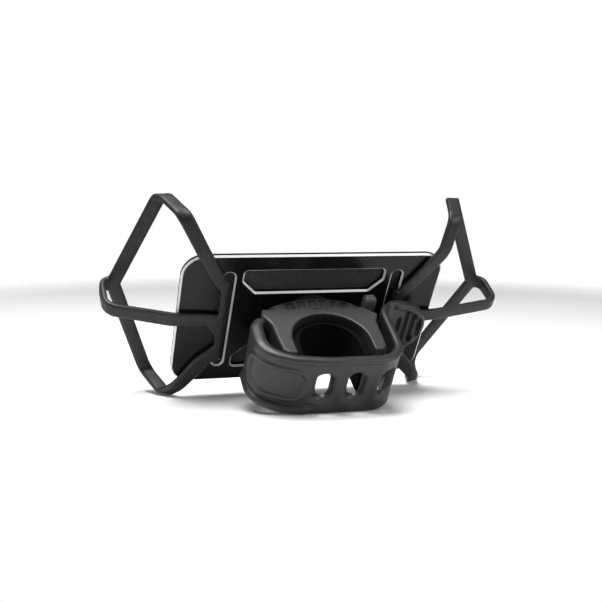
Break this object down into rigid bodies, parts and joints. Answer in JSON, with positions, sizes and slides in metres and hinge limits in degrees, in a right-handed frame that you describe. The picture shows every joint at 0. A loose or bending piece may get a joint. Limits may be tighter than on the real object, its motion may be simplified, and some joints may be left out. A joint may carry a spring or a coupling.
{
  "type": "phone handlebar mount",
  "caption": "Handlebar mount for a phone: rubber strap clamp, turning metal tray and stretchy three-armed bands that hold the phone.",
  "frame": {"origin": "centre of the clamped handlebar, in the middle of the saddle's liner", "axes": "+X along the handlebar, +Y along the tray's long side, +Z from the handlebar towards the phone"},
  "size_m": [0.0865, 0.1591, 0.0589],
  "materials": {
    "nylon": "satin",
    "tab_plastic": "satin",
    "liner_rubber": "matte",
    "strap_rubber": "satin",
    "silicone": "satin",
    "anodised": "satin",
    "steel": "satin",
    "bronze": "satin",
    "low_friction": "matte"
  },
  "bodies": {
    "base": {"saddle": "nylon", "saddle_pad": "liner_rubber", "swivel_housing": "nylon", "housing_screws": "steel", "pivot_bolt": "steel", "thrust_washer": "low_friction", "wave_washer": "steel", "pivot_nut": "steel", "detent_balls": "steel", "detent_springs": "steel", "strap_pin": "steel", "pin_clip": "steel", "release_spring": "steel"},
    "tray": {"tray_plate": "anodised", "swivel_hub": "nylon", "hub_bush": "bronze", "hub_screws": "steel", "phone_pad": "liner_rubber", "band_left": "silicone", "band_right": "silicone", "keeper_left": "steel", "keeper_right": "steel"},
    "strap": {"strap": "strap_rubber", "strap_bush": "low_friction"},
    "strap_tail": {"strap_tail": "strap_rubber"},
    "release_tab": {"release_tab": "tab_plastic"}
  },
  "joints": [
    {"name": "tray_swivel", "type": "hinge", "parent": "base", "child": "tray", "pos_m": [0, 0, 0.0225], "axis": [0, 0, 1], "continuous": true},
    {"name": "strap_open", "type": "hinge", "parent": "base", "child": "strap", "pos_m": [0, -0.0192, 0.0136], "axis": [-1, 0, 0], "range_deg": [0, 35]},
    {"name": "strap_peel", "type": "hinge", "parent": "strap", "child": "strap_tail", "pos_m": [0, 0.0251, -0.0036], "axis": [-1, 0, 0], "range_deg": [0, 140]},
    {"name": "release_press", "type": "slide", "parent": "base", "child": "release_tab", "axis": [-1, 0, 0], "range_m": [0, 0.0025], "stiffness_N_per_m": 400, "springref_m": -0.003}
  ],
  "couplings": [
    {"joint": "strap_peel", "follows": "strap_open", "ratio": 4}
  ]
}
